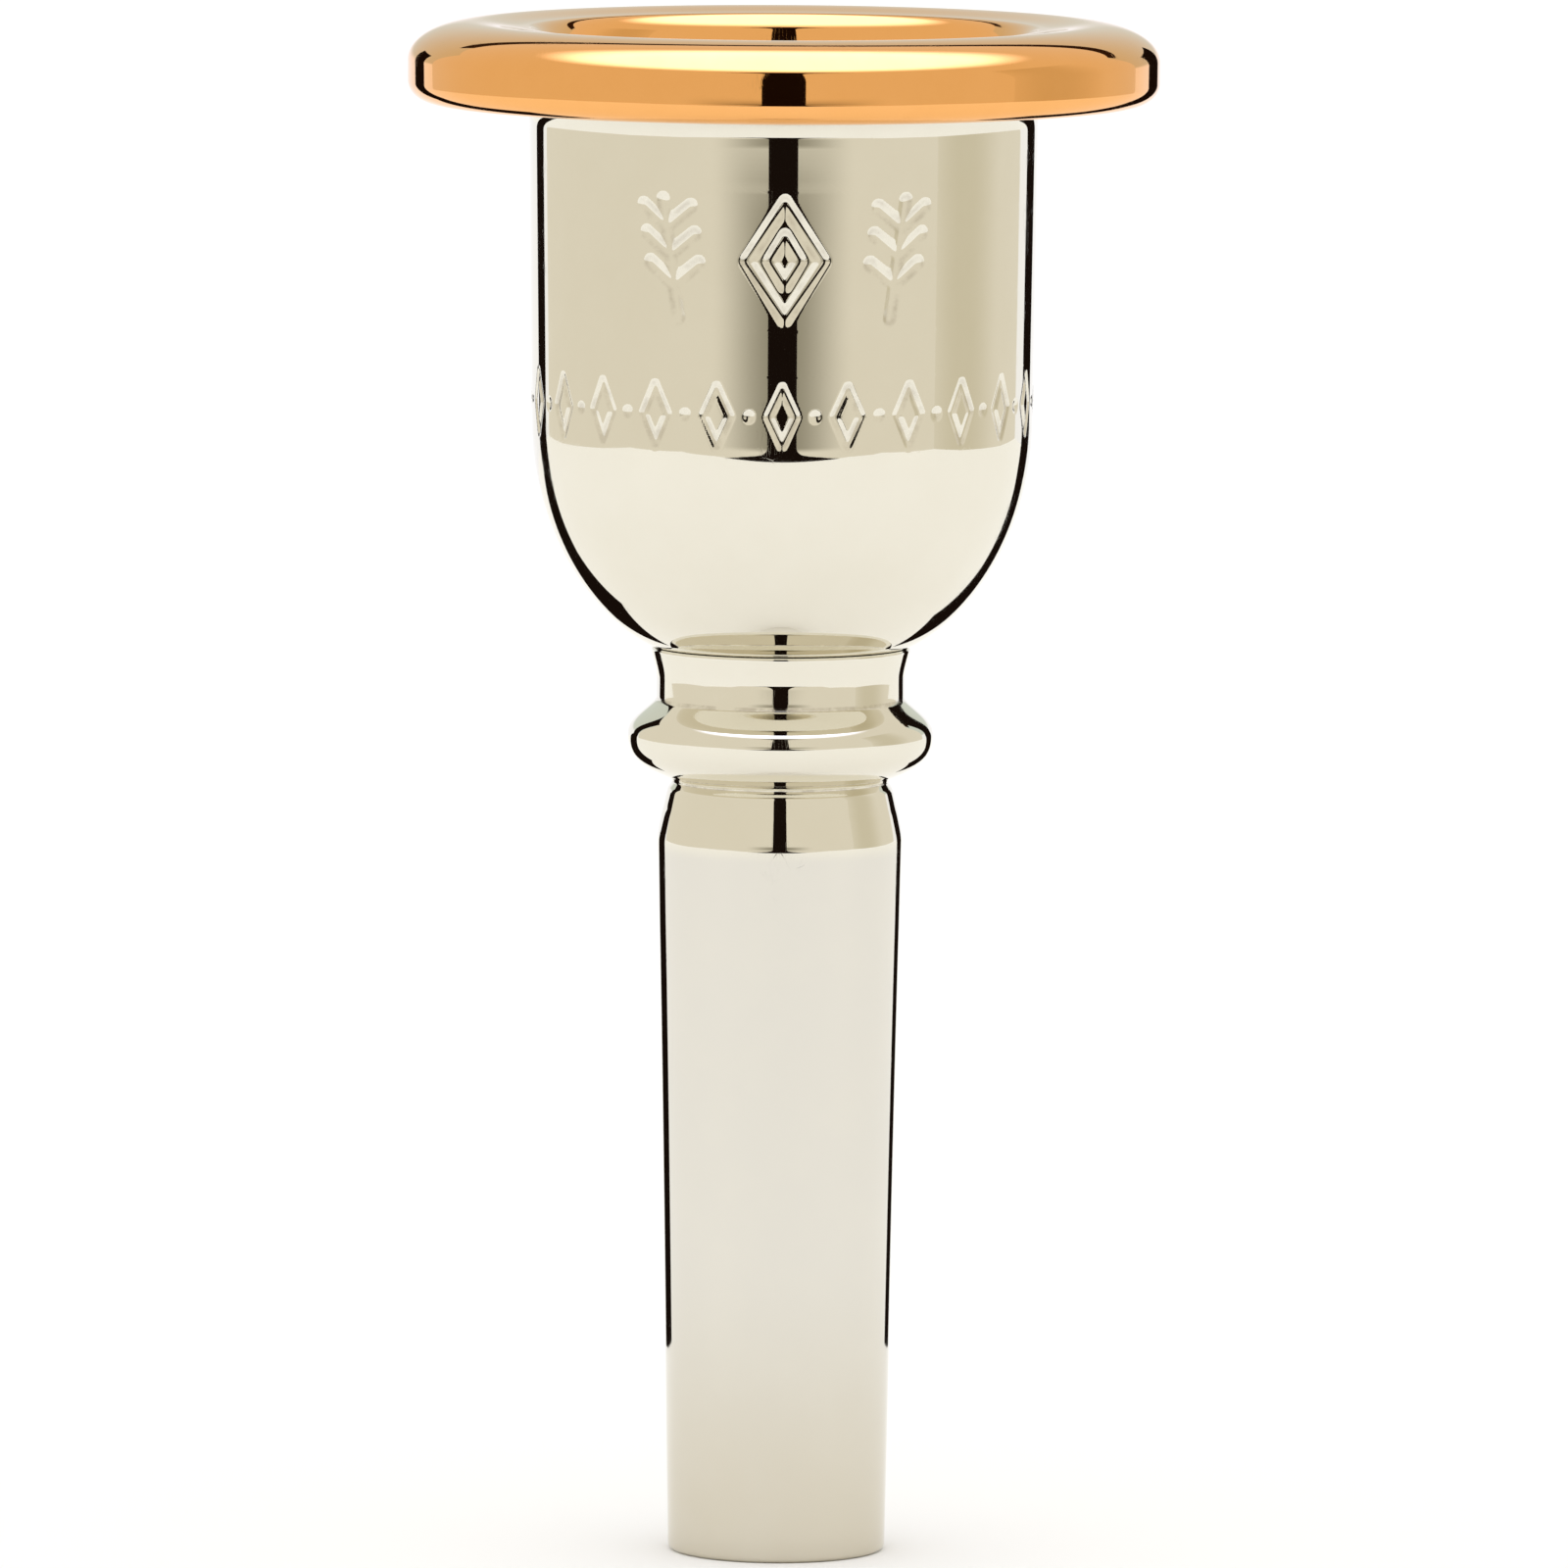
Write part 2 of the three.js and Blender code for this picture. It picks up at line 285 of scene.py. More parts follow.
def beadAndCollar(shape, below):  # from the groove's floor up to the collar's edge
    groove, bead, waist, collar = (shape[part] for part in ("groove", "bead", "waist", "collar"))
    rounding = shape["rounding"]
    widest = bead["widest"]
    rise = widest - groove["top"]
    sink = waist["foot"] - widest
    swell = beadReach - groove["topRadius"]
    fall = beadReach - waist["radius"]
    grooveFloor = (groove["radius"], groove["floor"])
    beadFoot = (groove["topRadius"], groove["top"])
    beadTop = (beadReach, widest)
    waistFoot = (waist["radius"], waist["foot"])
    waistTop = (waist["radius"], waist["top"])
    underPull, overPull = bead["widestPulls"]
    lowPull = (groove["topRadius"] + bead["lowPull"][0] * swell, groove["top"] + bead["lowPull"][1] * rise)
    highPull = (beadReach - bead["highPull"][0] * fall, widest + bead["highPull"][1] * sink)
    under = curve(beadFoot, lowPull, (beadReach, groove["top"] + underPull * rise), beadTop, 28)
    over = curve(beadTop, (beadReach, widest + overPull * sink), highPull, waistFoot, 30)
    outline = below + corner(grooveFloor, beadFoot, under[2], rounding["beadFoot"])
    outline += under[2:]
    outline += over[1:-2]
    outline += corner(over[-3], waistFoot, waistTop, rounding["waistFoot"], 6)
    outline += straight(outline[-1], waistTop, 6)[1:-1]
    waistPull = (waist["radius"], waist["top"] + waist["flare"])
    knee = (collar["kneeRadius"], collar["kneeHeight"])
    outline += curve(waistTop, waistPull, knee, (collar["radius"], collar["edge"]), 12)[:-1]
    return outline


def tenonAndBore(shape, below):  # over the seat, up the thread and back down the bore
    collar, bore, rounding = shape["collar"], shape["bore"], shape["rounding"]
    seat = cupFoot - cadGap
    wallRadius = tenonThread["wall"]
    threadLow, threadHigh = tenonThread["span"]
    collarEdge = (collar["radius"], collar["edge"])
    seatEdge = (shape["seatRadius"], seat)
    root = (wallRadius, seat)
    tenonEdge = (wallRadius - shape["tenonChamfer"], tenonTop)
    mouthEdge = (bore["mouth"], tenonTop)
    mouthFoot = (bore["throat"], bore["throatTop"])
    throatFoot = (bore["throat"], bore["throatFoot"])
    outline = below + corner(below[-1], collarEdge, seatEdge, rounding["collarEdge"])
    outline += corner(collarEdge, seatEdge, root, rounding["seatEdge"])
    outline += corner(seatEdge, root, (wallRadius, threadLow), rounding["root"])
    outline += straight((wallRadius, threadLow), (wallRadius, threadHigh), 68)
    outline += corner(outline[-1], tenonEdge, mouthEdge, rounding["tenonEdge"])
    outline += corner(tenonEdge, mouthEdge, mouthFoot, rounding["mouthEdge"])
    outline += corner(mouthEdge, mouthFoot, throatFoot, rounding["mouthFoot"])
    highPull = (bore["throat"], bore["throatFoot"] * bore["highPull"])
    lowPull = (bore["end"] - bore["flare"], bore["throatFoot"] * bore["lowPull"])
    backbore = curve(throatFoot, highPull, lowPull, (bore["end"], shankLow), 30)
    outline += backbore[:-1]
    outline += corner(backbore[-2], backbore[-1], (shape["taper"]["endRadius"], shankLow), rounding["end"])
    return outline


def shankOutline(shape):
    return tenonAndBore(shape, beadAndCollar(shape, taperAndShoulder(shape)))


shank = turned("shankTurning", shankOutline(shankShape), shankShape["columns"], [tenonThread])
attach(shank, "shank")
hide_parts("shank")
print("shank turned:", len(shank.data.polygons), "faces")


# The cup carries two rows of ornament: three tall figures at the front and a small chain all round.
cupShape = {
    "columns": 192,
    "footRadius": 6.66,
    "footPull": (3.22, 1.32),  # out and up from the foot
    "round": {"radius": 13.0, "top": 58.9, "pull": (0.08, 5.51), "steps": 400, "kept": 11},
    "wall": {"radius": 13.2, "top": 74.55},
    "fillet": 1.1,
    "flangeCollar": 14.95,
    "flangeChamfer": 0.2,
    "ledgeRounding": 0.05,
    "threadRelief": {"drop": 0.03, "foot": 0.01, "out": 0.05},
    "sealGroove": {"radius": 13.4, "width": 0.9, "floor": 77.05, "edge": 0.04},
    "mouth": {"radius": 12.2, "pull": (0.75, 8), "rounding": 0.06},
    "throat": {"radius": 3.6, "pull": (5, 6.1)},
    "counterbore": {"radius": 5.7, "top": 48.25},
    "tallRow": {"low": 64.75, "high": 71.95, "step": 0.115, "reach": 46, "split": 5},
    "chainRow": {"low": 58.3, "high": 62.4, "step": 0.1, "split": 5},
    "plainRows": {"margin": 0.15, "between": 0.5, "betweenEnd": 0.1, "above": 0.4, "aboveEnd": 0.05},
}

ornament = {
    "tallMiddle": 68.35,
    "tallHalf": 3.0,
    "tallAlong": (-5.95, 0.1, 6.1),
    "tallStroke": 0.42,
    "tallDepth": 0.11,
    "sprigLean": 0.9,
    "leafFeet": (-0.42, 0.08, 0.55),  # shares of the half height
    "leaf": (1.35, 1.05),
    "lozengeHalf": 1.95,
    "innerLozenge": (0.75, 1.25),
    "chainMiddle": 60.35,
    "chainHalf": 1.5,
    "chainHalfWide": 0.7,
    "chainUnits": 24,
    "chainStroke": 0.27,
    "chainDepth": 0.075,
    "dotRadius": 0.34,
    "softness": 1.3,
    "tallMargin": 0.6,
    "chainMargin": 0.5,
}


def toStroke(across, up, ax, ay, bx, by):  # distance from each point to a straight stroke
    dx, dy = bx - ax, by - ay
    t = np.clip(((across - ax) * dx + (up - ay) * dy) / (dx * dx + dy * dy), 0, 1)
    return np.hypot(across - ax - t * dx, up - ay - t * dy)


def lozengeStrokes(halfWide, halfTall):
    tips = [(0, halfTall), (halfWide, 0), (0, -halfTall), (-halfWide, 0)]
    return [tips[i] + tips[(i + 1) % 4] for i in range(4)]


def sprigStrokes(half, lean):  # a stem with three pairs of leaves
    strokes = [(-lean * 0.5, -half, 0, 0), (0, 0, lean * 0.5, half)]
    leafOut, leafUp = ornament["leaf"]
    for share in ornament["leafFeet"]:
        stem = lean * 0.5 * share
        foot = share * half
        for side in (-1, 1):
            strokes.append((stem, foot, stem + side * leafOut, foot + leafUp))
    return strokes


def carve(distance, halfStroke, depth):  # round-bottomed groove with soft shoulders
    share = np.clip(distance / halfStroke, 0, 1)
    return depth * (1 - share ** 2) ** ornament["softness"]


def tallDepth(along, up):  # a lozenge between two leaf sprigs
    half, lean = ornament["tallHalf"], ornament["sprigLean"]
    left, middle, right = ornament["tallAlong"]
    lozenges = lozengeStrokes(ornament["lozengeHalf"], half) + lozengeStrokes(*ornament["innerLozenge"])
    figures = [(left, sprigStrokes(half, -lean)), (middle, lozenges), (right, sprigStrokes(half, lean))]
    depth = np.zeros(len(along))
    for where, strokes in figures:
        for stroke in strokes:
            distance = toStroke(along - where, up, *stroke)
            depth = np.maximum(depth, carve(distance, ornament["tallStroke"], ornament["tallDepth"]))
    return depth


def chainDepth(along, up, around):  # small lozenges with dots between them, all the way round
    pitch = around / ornament["chainUnits"]
    inUnit = (along + pitch / 2) % pitch - pitch / 2
    dot = np.hypot(np.abs(inUnit) - pitch / 2, up)
    depth = carve(dot, ornament["dotRadius"], ornament["chainDepth"])
    for stroke in lozengeStrokes(ornament["chainHalfWide"], ornament["chainHalf"]):
        distance = toStroke(inUnit, up, *stroke)
        depth = np.maximum(depth, carve(distance, ornament["chainStroke"], ornament["chainDepth"]))
    return depth


def ornamentDepth(along, height, radius):
    around = wholeTurn * radius
    along = (along + around / 2) % around - around / 2
    upTall = height - ornament["tallMiddle"]
    upChain = height - ornament["chainMiddle"]
    if abs(upTall) < ornament["tallHalf"] + ornament["tallMargin"]:
        return tallDepth(along, upTall)
    if abs(upChain) < ornament["chainHalf"] + ornament["chainMargin"]:
        return chainDepth(along, upChain, around)
    return np.zeros(len(along))


def cupOutside(shape):  # finely stationed curve from the foot to the fillet under the flange
    bowlRound, wall = shape["round"], shape["wall"]
    footPull, roundPull = shape["footPull"], bowlRound["pull"]
    outside = curve(
        (shape["footRadius"], cupFoot - cadGap + jointLine),
        (shape["footRadius"] + footPull[0], cupFoot + footPull[1]),
        (bowlRound["radius"] - roundPull[0], bowlRound["top"] - roundPull[1]),
        (bowlRound["radius"], bowlRound["top"]),
        bowlRound["steps"],
    )
    return outside + [(wall["radius"], wall["top"])]


def sealGrooveLine(seal, face, floor, inward):  # a square groove for a ring, cut in from a flat face
    outer = seal["radius"] + seal["width"] / 2
    inner = seal["radius"] - seal["width"] / 2
    lip = face + seal["edge"] * (1 if floor > face else -1)
    line = [(outer + seal["edge"], face), (outer, lip), (outer, floor)]
    line += [(inner, floor), (inner, lip), (inner - seal["edge"], face)]
    return line if inward else line[::-1]


def cupOutline(shape):
    outside = cupOutside(shape)
    radii, heights = (np.array(side) for side in zip(*outside))

    def station(height):  # the outside at a height
        return float(np.interp(height, heights, radii)), float(height)

    chain, tall, plain = shape["chainRow"], shape["tallRow"], shape["plainRows"]
    wall, fillet, ledge, seal = (shape[part] for part in ("wall", "fillet", "flangeCollar", "sealGroove"))
    margin = plain["margin"]
    chainRows = np.arange(chain["low"], chain["high"], chain["step"])
    tallRows = np.arange(tall["low"], tall["high"], tall["step"])
    between = np.arange(chain["high"] + margin, tall["low"] - plain["betweenEnd"], plain["between"])
    above = np.arange(tall["high"] + margin, wall["top"] - plain["aboveEnd"], plain["above"])
    outline = [point for point in outside[::shape["round"]["kept"]] if point[1] < chain["low"] - margin]
    marks = {"chain": (len(outline), len(outline) + len(chainRows))}
    outline += [station(z) for z in chainRows] + [station(z) for z in between]
    marks["tall"] = (len(outline), len(outline) + len(tallRows))
    outline += [station(z) for z in tallRows] + [station(z) for z in above]
    outline += arc((wall["radius"] + fillet, wall["top"]), fillet, fillet, 180, 90, 14)
    wallRadius = flangeThread["wall"]
    threadLow, threadHigh = flangeThread["span"]
    relief = shape["threadRelief"]
    outline += corner(outline[-1], (ledge, flangeFoot), (ledge, threadLow), shape["ledgeRounding"], 2)
    outline += [(ledge, threadLow - relief["drop"])]
    outline += [(wallRadius + relief["out"], threadLow - relief["foot"])]
    outline += straight((wallRadius, threadLow), (wallRadius, threadHigh), 24)
    top = flangeTop + closing
    outline += [(wallRadius - shape["flangeChamfer"], top)]
    outline += sealGrooveLine(seal, top, seal["floor"], True)
    mouth, throat = shape["mouth"], shape["throat"]
    bowlFoot = tenonTop + cadGap
    bowl = curve(
        (mouth["radius"], top),
        (mouth["radius"] - mouth["pull"][0], flangeTop - mouth["pull"][1]),
        (throat["radius"] + throat["pull"][0], bowlFoot + throat["pull"][1]),
        (throat["radius"], bowlFoot),
        40,
    )
    grooveInside = (seal["radius"] - seal["width"] / 2, top)
    outline += corner(grooveInside, bowl[0], bowl[1], mouth["rounding"], 2)
    marks["bowl"] = (len(outline) - 1, len(outline) + len(bowl) - 2)
    outline += bowl[1:]
    socketLow, socketTop = socketThread["span"]
    outline += straight((socketThread["wall"], socketTop), (socketThread["wall"], socketLow), 40)
    bore = shape["counterbore"]
    outline += [(bore["radius"], bore["top"]), (bore["radius"], cupFoot - cadGap + jointLine)]
    return outline, marks


def cupCuts(outline, marks, shape):
    columns = shape["columns"]
    cuts = [np.ones(columns, int) for _ in outline]
    degrees = (np.arange(columns) + 0.5) * 360 / columns
    front = np.minimum(degrees, 360 - degrees) < shape["tallRow"]["reach"]
    for i in range(*marks["chain"]):
        cuts[i] = np.full(columns, shape["chainRow"]["split"])
    for i in range(*marks["tall"]):
        cuts[i] = np.where(front, shape["tallRow"]["split"], 1)
    return cuts


cupLine, cupMarks = cupOutline(cupShape)
bowlFirst, bowlLast = cupMarks["bowl"]
cup = turned(
    "cupTurning",
    cupLine,
    cupShape["columns"],
    [flangeThread, socketThread],
    cupCuts(cupLine, cupMarks, cupShape),
    ornamentDepth,
    lambda i: bowlFirst <= i < bowlLast,
)
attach(cup, "cup")
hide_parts("cup")
print("cup turned:", len(cup.data.polygons), "faces")


rimShape = {
    "columns": 288,
    "footRadius": 18.1,
    "footRounding": 1.4,
    "footRise": 1.14,
    "wallHeight": 0.8,
    "crestRadius": 16.0,
    "recessChamfer": (0.07, 0.2),
    "bite": {"radius": 12.2, "across": 1.1, "down": 1.7, "drop": 0.25, "crestPull": 1, "pull": 0.9},
    "sealGroove": {"radius": 13.4, "width": 0.9, "roof": 77.95, "edge": 0.04},
    "edge": 0.05,
}


def rimOutline(shape):
    bite, seal, crest, edge = shape["bite"], shape["sealGroove"], shape["crestRadius"], shape["edge"]
    rounding, rise = shape["footRounding"], shape["footRise"]
    recess = recessThread["wall"]
    recessLow, recessTop = recessThread["span"]
    wallTop = flangeFoot + rounding + shape["wallHeight"]
    web = flangeTop + cadGap - closing
    chamferIn, chamferUp = shape["recessChamfer"]
    mouthEdge = (recess + chamferIn, flangeFoot)
    outline = corner((recess, flangeFoot + chamferUp), mouthEdge, (crest, flangeFoot), edge, 2)
    outline += straight(mouthEdge, (shape["footRadius"], flangeFoot), 8)[1:-1]
    outline += arc((shape["footRadius"], flangeFoot + rise), rounding, rise, -90, 0, 20)
    outline += arc((crest, wallTop), rimReach - crest, rimCrest - wallTop, 0, 90, 40)
    biteTop = (bite["radius"] + bite["across"], rimCrest - bite["drop"])
    crestPull = (crest - bite["crestPull"], rimCrest)
    outline += curve(outline[-1], crestPull, (biteTop[0] + bite["pull"], biteTop[1]), biteTop, 16)[1:-1]
    outline += arc((biteTop[0], biteTop[1] - bite["down"]), bite["across"], bite["down"], 90, 180, 26)
    outline += corner(outline[-1], (bite["radius"], web), (seal["radius"], web), edge, 2)
    outline += sealGrooveLine(seal, web, seal["roof"], False)
    outline += straight((recess, recessTop), (recess, recessLow), 30)
    return outline


rim = turned("rimTurning", rimOutline(rimShape), rimShape["columns"], [recessThread])
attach(rim, "rim")
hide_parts("rim")
print("rim turned:", len(rim.data.polygons), "faces")


sealShape = {"columns": 160, "steps": 28, "flash": 0.015, "flashSharpness": 24}


def sealRing(name, node, body):
    low, high, reach = span(node)
    half = (high - low) / 2
    angles = np.arange(sealShape["steps"]) * wholeTurn / sealShape["steps"]
    outline = []
    for a in angles:  # round, with a moulding line about its middle
        bulge = half - sealShape["flash"] * (1 - abs(math.cos(a)) ** sealShape["flashSharpness"])
        outline.append((reach - half + bulge * math.cos(a), low + half + bulge * math.sin(a)))
    ring = turned(name, outline, sealShape["columns"])
    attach(ring, body)
    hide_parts(node)
    return ring


lowerSeal = sealRing("lowerSealRing", "shank_seal_ring", "lower_seal")
upperSeal = sealRing("upperSealRing", "rim_seal_ring", "upper_seal")
print("seal rings moulded")


def newGroup(name, inputs, outputs):  # inputs: name -> starting value
    tree = bpy.data.node_groups.new(name, "ShaderNodeTree")
    for label, value in inputs.items():
        socket = tree.interface.new_socket(label, in_out="INPUT", socket_type="NodeSocketFloat")
        socket.default_value = value
    for label in outputs:
        tree.interface.new_socket(label, in_out="OUTPUT", socket_type="NodeSocketFloat")
    return tree, tree.nodes.new("NodeGroupInput").outputs, tree.nodes.new("NodeGroupOutput").inputs


def maths(tree, operation, first, second=0.0, third=0.0, clamp=False):
    node = tree.nodes.new("ShaderNodeMath")
    node.operation = operation
    node.use_clamp = clamp
    for socket, value in zip(node.inputs, (first, second, third)):
        if isinstance(value, (int, float)):
            socket.default_value = value
        else:
            tree.links.new(value, socket)
    return node.outputs[0]


def ramp(tree, value, low, high):  # 0 below low, 1 above high, smooth between
    node = tree.nodes.new("ShaderNodeMapRange")
    node.interpolation_type = "SMOOTHSTEP"
    tree.links.new(value, node.inputs["Value"])
    for label, edge in (("From Min", low), ("From Max", high)):
        if isinstance(edge, (int, float)):
            node.inputs[label].default_value = edge
        else:
            tree.links.new(edge, node.inputs[label])
    return node.outputs["Result"]


def onPiece(tree):  # the point on the piece, in the piece's own metres
    return tree.nodes.new("ShaderNodeTexCoord").outputs["Object"]


def splitPoint(tree, point):
    split = tree.nodes.new("ShaderNodeSeparateXYZ")
    tree.links.new(point, split.inputs[0])
    return split.outputs


def fromAxis(tree, x, y):  # distance from the bore's axis
    squares = [maths(tree, "MULTIPLY", side, side) for side in (x, y)]
    return maths(tree, "SQRT", maths(tree, "ADD", *squares))


def latheCoordinates(tree, aroundShare):  # radius and height, with only a little change round the piece
    x, y, z = splitPoint(tree, onPiece(tree))
    join = tree.nodes.new("ShaderNodeCombineXYZ")
    across = maths(tree, "ADD", fromAxis(tree, x, y), maths(tree, "MULTIPLY", x, aroundShare))
    tree.links.new(across, join.inputs[0])
    tree.links.new(maths(tree, "MULTIPLY", y, aroundShare), join.inputs[1])
    tree.links.new(z, join.inputs[2])
    return join.outputs[0]


def cloudy(tree, vector, scale, detail=3.0, rough=0.55):
    node = tree.nodes.new("ShaderNodeTexNoise")
    tree.links.new(vector, node.inputs["Vector"])
    if isinstance(scale, (int, float)):
        node.inputs["Scale"].default_value = scale
    else:
        tree.links.new(scale, node.inputs["Scale"])
    node.inputs["Detail"].default_value = detail
    node.inputs["Roughness"].default_value = rough
    return node.outputs["Fac"]


buffing = {"aroundShare": 0.02, "broadScale": 0.22, "fine": 0.6, "broad": 0.4}


def makeBuffingMarks():  # fine rings left by the lathe and mop, and the soft waviness under the plate
    inputs = {"Lines per Metre": 9000, "Wave per Metre": 260}
    tree, given, out = newGroup("Buffing marks", inputs, ["Lines", "Wave"])
    lathe = latheCoordinates(tree, buffing["aroundShare"])
    fine = cloudy(tree, lathe, given["Lines per Metre"], 2.0)
    broadScale = maths(tree, "MULTIPLY", given["Lines per Metre"], buffing["broadScale"])
    broad = cloudy(tree, lathe, broadScale, 2.0)
    fineShare = maths(tree, "MULTIPLY", fine, buffing["fine"])
    broadShare = maths(tree, "MULTIPLY", broad, buffing["broad"])
    tree.links.new(maths(tree, "ADD", fineShare, broadShare), out["Lines"])
    tree.links.new(cloudy(tree, onPiece(tree), given["Wave per Metre"], 1.0), out["Wave"])
    return tree


hairline = {
    "directions": [
        {"turn": (0.4, 0.9, 0.3), "stretch": (1, 9, 1)},
        {"turn": (1.3, -0.5, 2.1), "stretch": (8, 1, 1)},
    ],
    "patches": 420.0,
    "patchEdge": (0.5, 0.68),
}


def makeHairlines():  # short hair scratches from cloths and cases, in two directions
    inputs = {"Scratches per Metre": 700, "Thinness": 0.02}
    tree, given, out = newGroup("Hairline scratches", inputs, ["Scratches"])
    point = onPiece(tree)
    lines = []
    for direction in hairline["directions"]:
        mapping = tree.nodes.new("ShaderNodeMapping")
        mapping.inputs["Scale"].default_value = direction["stretch"]
        mapping.inputs["Rotation"].default_value = direction["turn"]
        tree.links.new(point, mapping.inputs["Vector"])
        cells = tree.nodes.new("ShaderNodeTexVoronoi")
        cells.feature = "DISTANCE_TO_EDGE"
        tree.links.new(mapping.outputs[0], cells.inputs["Vector"])
        tree.links.new(given["Scratches per Metre"], cells.inputs["Scale"])
        edge = ramp(tree, cells.outputs["Distance"], 0.0, given["Thinness"])
        lines.append(maths(tree, "SUBTRACT", 1.0, edge))
    patches = ramp(tree, cloudy(tree, point, hairline["patches"], 2.0), *hairline["patchEdge"])
    both = maths(tree, "MAXIMUM", *lines)
    tree.links.new(maths(tree, "MULTIPLY", both, patches), out["Scratches"])
    return tree


touching = {"patchEdge": (0.5, 0.72), "grainScale": 16.0, "hazeScale": 3.0}


def makeHandling():  # finger smudges and the faint haze of the plate
    tree, given, out = newGroup("Handling marks", {"Smudges per Metre": 120}, ["Smudge", "Haze"])
    point = onPiece(tree)
    scale = given["Smudges per Metre"]
    patch = ramp(tree, cloudy(tree, point, scale, 3.0, 0.6), *touching["patchEdge"])
    grain = cloudy(tree, point, maths(tree, "MULTIPLY", scale, touching["grainScale"]), 3.0, 0.7)
    haze = cloudy(tree, point, maths(tree, "MULTIPLY", scale, touching["hazeScale"]), 4.0, 0.6)
    tree.links.new(maths(tree, "MULTIPLY", patch, grain), out["Smudge"])
    tree.links.new(haze, out["Haze"])
    return tree


settling = {
    "patchEdge": (0.38, 0.66),
    "hollowEdge": (0.15, 0.9),
    "cutShare": 2.4,
    "proudEdge": (0.25, 0.95),
    "rubCover": 1.25,
}


def makeAgeing():  # tarnish settles in hollows and cuts, edges get rubbed bright
    inputs = {"Crease": 0.0, "Cut": 0.0, "Patches per Metre": 900}
    tree, given, out = newGroup("Tarnish and rub", inputs, ["Tarnish", "Rubbed Edge"])
    cloud = cloudy(tree, onPiece(tree), given["Patches per Metre"], 4.0, 0.65)
    patch = ramp(tree, cloud, *settling["patchEdge"])
    hollow = ramp(tree, maths(tree, "MULTIPLY", given["Crease"], -1.0), *settling["hollowEdge"])
    cutEdge = maths(tree, "MULTIPLY", given["Cut"], maths(tree, "SUBTRACT", 1.0, given["Cut"]))
    cutShare = maths(tree, "MULTIPLY", cutEdge, settling["cutShare"])
    settled = maths(tree, "ADD", hollow, cutShare, clamp=True)
    tree.links.new(maths(tree, "MULTIPLY", settled, patch), out["Tarnish"])
    proud = ramp(tree, given["Crease"], *settling["proudEdge"])
    cover = maths(tree, "SUBTRACT", settling["rubCover"], patch)
    tree.links.new(maths(tree, "MULTIPLY", proud, cover, clamp=True), out["Rubbed Edge"])
    return tree


# patches of the painted shade on the taper
taperShadePatches = {"patches": 260.0, "patchShare": 0.5, "leastCover": 0.72}


def makeTaperShade():  # painted shade: the taper is painted darker below its top, standing for the floor's shade in its reflection, and darker still towards its end, which is also rubbed rougher where it is pushed into the instrument
    inputs = {"Top": 0.0, "Fade": 0.001, "Shade and Wear Reach": 0.0}
    tree, given, out = newGroup("Taper painted shade", inputs, ["Dulled", "Shaded and Worn End"])
    point = onPiece(tree)
    height = splitPoint(tree, point)[2]
    above = ramp(tree, height, maths(tree, "SUBTRACT", given["Top"], given["Fade"]), given["Top"])
    patch = cloudy(tree, point, taperShadePatches["patches"], 3.0)
    cover = maths(tree, "MULTIPLY_ADD", patch, taperShadePatches["patchShare"], taperShadePatches["leastCover"], clamp=True)
    tree.links.new(maths(tree, "MULTIPLY", maths(tree, "SUBTRACT", 1.0, above), cover), out["Dulled"])
    shadedAndWornEnd = maths(tree, "SUBTRACT", 1.0, ramp(tree, height, 0.0, given["Shade and Wear Reach"]))
    tree.links.new(maths(tree, "MULTIPLY", shadedAndWornEnd, cover), out["Shaded and Worn End"])
    return tree


buffingMarks = makeBuffingMarks()
hairlines = makeHairlines()
handling = makeHandling()
ageing = makeAgeing()
taperShade = makeTaperShade()


def place(tree, group, values):  # puts a shared group into a material, with this material's values
    node = tree.nodes.new("ShaderNodeGroup")
    node.node_tree = group
    node.label = group.name
    for label, value in values.items():
        if isinstance(value, (int, float)):
            node.inputs[label].default_value = value
        else:
            tree.links.new(value, node.inputs[label])
    return node.outputs


def blendColour(tree, amount, first, second, share=1.0):
    node = tree.nodes.new("ShaderNodeMix")
    node.data_type = "RGBA"
    tree.links.new(maths(tree, "MULTIPLY", amount, share, clamp=True), node.inputs["Factor"])
    for label, value in (("A", first), ("B", second)):
        socket = [s for s in node.inputs if s.name == label and s.type == "RGBA"][0]
        if isinstance(value, tuple):
            socket.default_value = value + (1,)
        else:
            tree.links.new(value, socket)
    return [s for s in node.outputs if s.type == "RGBA"][0]


def surfaceValue(tree, name):  # a number that the mesh carries at each point
    node = tree.nodes.new("ShaderNodeAttribute")
    node.attribute_name = name
    return node.outputs["Fac"]


def emptyMaterial(name):
    material = bpy.data.materials.new(name)
    material.use_nodes = True
    tree = material.node_tree
    return material, tree, tree.nodes["Principled BSDF"]


micron = 0.001 * mm


def raiseSurface(tree, shader, height):  # height in thousandths of a millimetre
    bump = tree.nodes.new("ShaderNodeBump")
    bump.inputs["Distance"].default_value = micron
    bump.inputs["Strength"].default_value = 1
    tree.links.new(height, bump.inputs["Height"])
    tree.links.new(bump.outputs[0], shader.inputs["Normal"])


